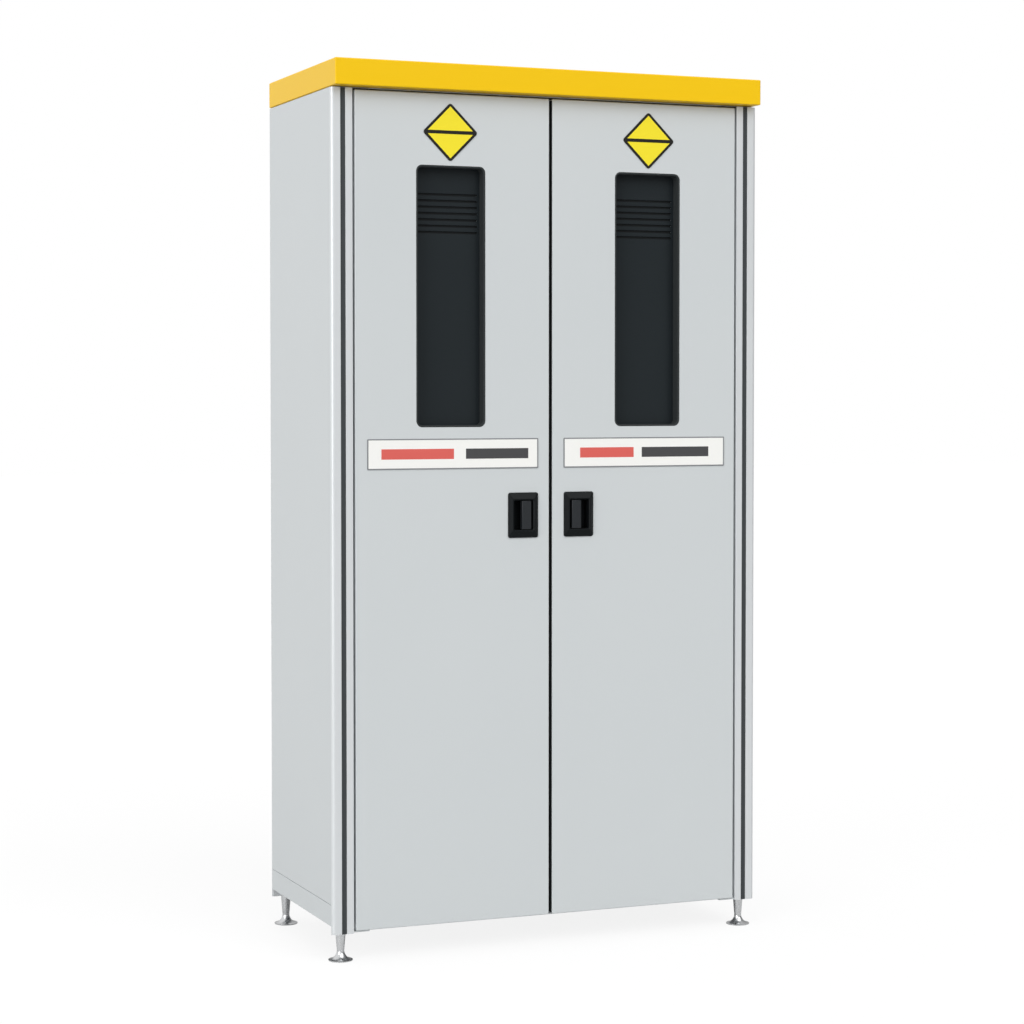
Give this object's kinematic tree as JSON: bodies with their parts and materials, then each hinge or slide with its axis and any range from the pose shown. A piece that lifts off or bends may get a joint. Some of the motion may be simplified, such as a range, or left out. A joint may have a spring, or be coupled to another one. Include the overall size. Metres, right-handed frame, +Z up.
{
  "type": "gas cylinder cabinet",
  "caption": "Tall two-door steel cabinet for standing gas cylinders, with a yellow cap, vented dark windows, recessed pull handles and levelling feet.",
  "frame": {"origin": "on the floor, under the middle of the cap, which is the middle of the whole box", "axes": "+X to the right seen from the front, +Y from the doors to the back, +Z up"},
  "size_m": [1, 0.475, 1.9],
  "materials": {
    "cabinet_grey": "semi-gloss powder coat, light grey",
    "cap_yellow": "semi-gloss powder coat, warm yellow",
    "post_aluminium": "satin anodised",
    "strip_black": "matt extruded strip",
    "handle_black": "fine-grained moulding",
    "gasket_rubber": "matt",
    "pane_dark": "dark tinted, satin",
    "placard_yellow": "satin film on a thin plate",
    "label_white": "satin film on a thin plate",
    "foot_chrome": "polished",
    "plate_black": "satin black powder coat",
    "zinc_plate": "zinc plated",
    "bracket_polymer": "moulded, matt",
    "bush_nylon": "natural nylon"
  },
  "bodies": {
    "cabinet": {"top_cap": "cap_yellow", "roof_panel": "cabinet_grey", "rail_front_top": "cabinet_grey", "rail_front_bottom": "cabinet_grey", "rail_rear_top": "cabinet_grey", "rail_rear_bottom": "cabinet_grey", "back_panel": "cabinet_grey", "floor_panel": "zinc_plate", "strike_lower": "zinc_plate", "strike_upper": "plate_black", "cylinder_bracket_lower": "bracket_polymer", "cylinder_bracket_upper": "bracket_polymer", "base_rail_left": "cabinet_grey", "side_panel_left": "cabinet_grey", "top_rail_left": "cabinet_grey", "pivot_upper_left": "plate_black", "pivot_lower_left": "cabinet_grey", "post_front_left": "post_aluminium", "slot_strip_front_left": "strip_black", "post_rear_left": "post_aluminium", "slot_strip_rear_left": "strip_black", "base_rail_right": "cabinet_grey", "side_panel_right": "cabinet_grey", "top_rail_right": "cabinet_grey", "pivot_upper_right": "plate_black", "pivot_lower_right": "cabinet_grey", "post_front_right": "post_aluminium", "slot_strip_front_right": "strip_black", "post_rear_right": "post_aluminium", "slot_strip_rear_right": "strip_black"},
    "door_left": {"door_skin_left": "cabinet_grey", "door_liner_left": "cabinet_grey", "window_gasket_left": "gasket_rubber", "window_pane_left": "pane_dark", "placard_left": "placard_yellow", "label_plate_left": "label_white", "handle_frame_left": "handle_black", "latch_case_left": "zinc_plate", "pivot_bush_upper_left": "bush_nylon", "pivot_bush_lower_left": "bush_nylon"},
    "door_right": {"door_skin_right": "cabinet_grey", "door_liner_right": "cabinet_grey", "window_gasket_right": "gasket_rubber", "window_pane_right": "pane_dark", "placard_right": "placard_yellow", "label_plate_right": "label_white", "handle_frame_right": "handle_black", "latch_case_right": "zinc_plate", "pivot_bush_upper_right": "bush_nylon", "pivot_bush_lower_right": "bush_nylon"},
    "handle_paddle_left": {"paddle_left": "handle_black"},
    "handle_paddle_right": {"paddle_right": "handle_black"},
    "rod_upper_left": {"latch_rod_upper_left": "zinc_plate"},
    "rod_lower_left": {"latch_rod_lower_left": "zinc_plate"},
    "rod_upper_right": {"latch_rod_upper_right": "zinc_plate"},
    "rod_lower_right": {"latch_rod_lower_right": "zinc_plate"},
    "levelling_foot_front_left": {"foot_front_left": "foot_chrome"},
    "levelling_foot_rear_left": {"foot_rear_left": "foot_chrome"},
    "levelling_foot_front_right": {"foot_front_right": "foot_chrome"},
    "levelling_foot_rear_right": {"foot_rear_right": "foot_chrome"}
  },
  "joints": [
    {"name": "door_left_swing", "type": "hinge", "parent": "cabinet", "child": "door_left", "pos_m": [-0.435, -0.2025, 0.95], "axis": [0, 0, -1], "range_deg": [0, 110]},
    {"name": "paddle_left_pull", "type": "hinge", "parent": "door_left", "child": "handle_paddle_left", "pos_m": [-0.0515, -0.2105, 0.939], "axis": [0, 0, 1], "range_deg": [0, 28]},
    {"name": "rod_upper_left_slide", "type": "slide", "parent": "door_left", "child": "rod_upper_left", "axis": [0, 0, -1], "range_m": [0, 0.012], "stiffness_N_per_m": 600, "springref_m": -0.01},
    {"name": "rod_lower_left_slide", "type": "slide", "parent": "door_left", "child": "rod_lower_left", "axis": [0, 0, 1], "range_m": [0, 0.012]},
    {"name": "door_right_swing", "type": "hinge", "parent": "cabinet", "child": "door_right", "pos_m": [0.435, -0.2025, 0.95], "axis": [0, 0, 1], "range_deg": [0, 110]},
    {"name": "paddle_right_pull", "type": "hinge", "parent": "door_right", "child": "handle_paddle_right", "pos_m": [0.0515, -0.2105, 0.939], "axis": [0, 0, -1], "range_deg": [0, 28]},
    {"name": "rod_upper_right_slide", "type": "slide", "parent": "door_right", "child": "rod_upper_right", "axis": [0, 0, -1], "range_m": [0, 0.012], "stiffness_N_per_m": 600, "springref_m": -0.01},
    {"name": "rod_lower_right_slide", "type": "slide", "parent": "door_right", "child": "rod_lower_right", "axis": [0, 0, 1], "range_m": [0, 0.012]},
    {"name": "foot_front_left_turn", "type": "hinge", "parent": "cabinet", "child": "levelling_foot_front_left", "pos_m": [-0.4735, -0.185, 0.03], "axis": [0, 0, 1], "continuous": true},
    {"name": "foot_front_right_turn", "type": "hinge", "parent": "cabinet", "child": "levelling_foot_front_right", "pos_m": [0.4735, -0.185, 0.03], "axis": [0, 0, 1], "continuous": true},
    {"name": "foot_rear_left_turn", "type": "hinge", "parent": "cabinet", "child": "levelling_foot_rear_left", "pos_m": [-0.4735, 0.207, 0.03], "axis": [0, 0, 1], "continuous": true},
    {"name": "foot_rear_right_turn", "type": "hinge", "parent": "cabinet", "child": "levelling_foot_rear_right", "pos_m": [0.4735, 0.207, 0.03], "axis": [0, 0, 1], "continuous": true}
  ],
  "couplings": [
    {"joint": "paddle_left_pull", "follows": "rod_upper_left_slide", "rad_per_m": 40.7},
    {"joint": "rod_lower_left_slide", "follows": "rod_upper_left_slide", "ratio": 1},
    {"joint": "paddle_right_pull", "follows": "rod_upper_right_slide", "rad_per_m": 40.7},
    {"joint": "rod_lower_right_slide", "follows": "rod_upper_right_slide", "ratio": 1}
  ]
}
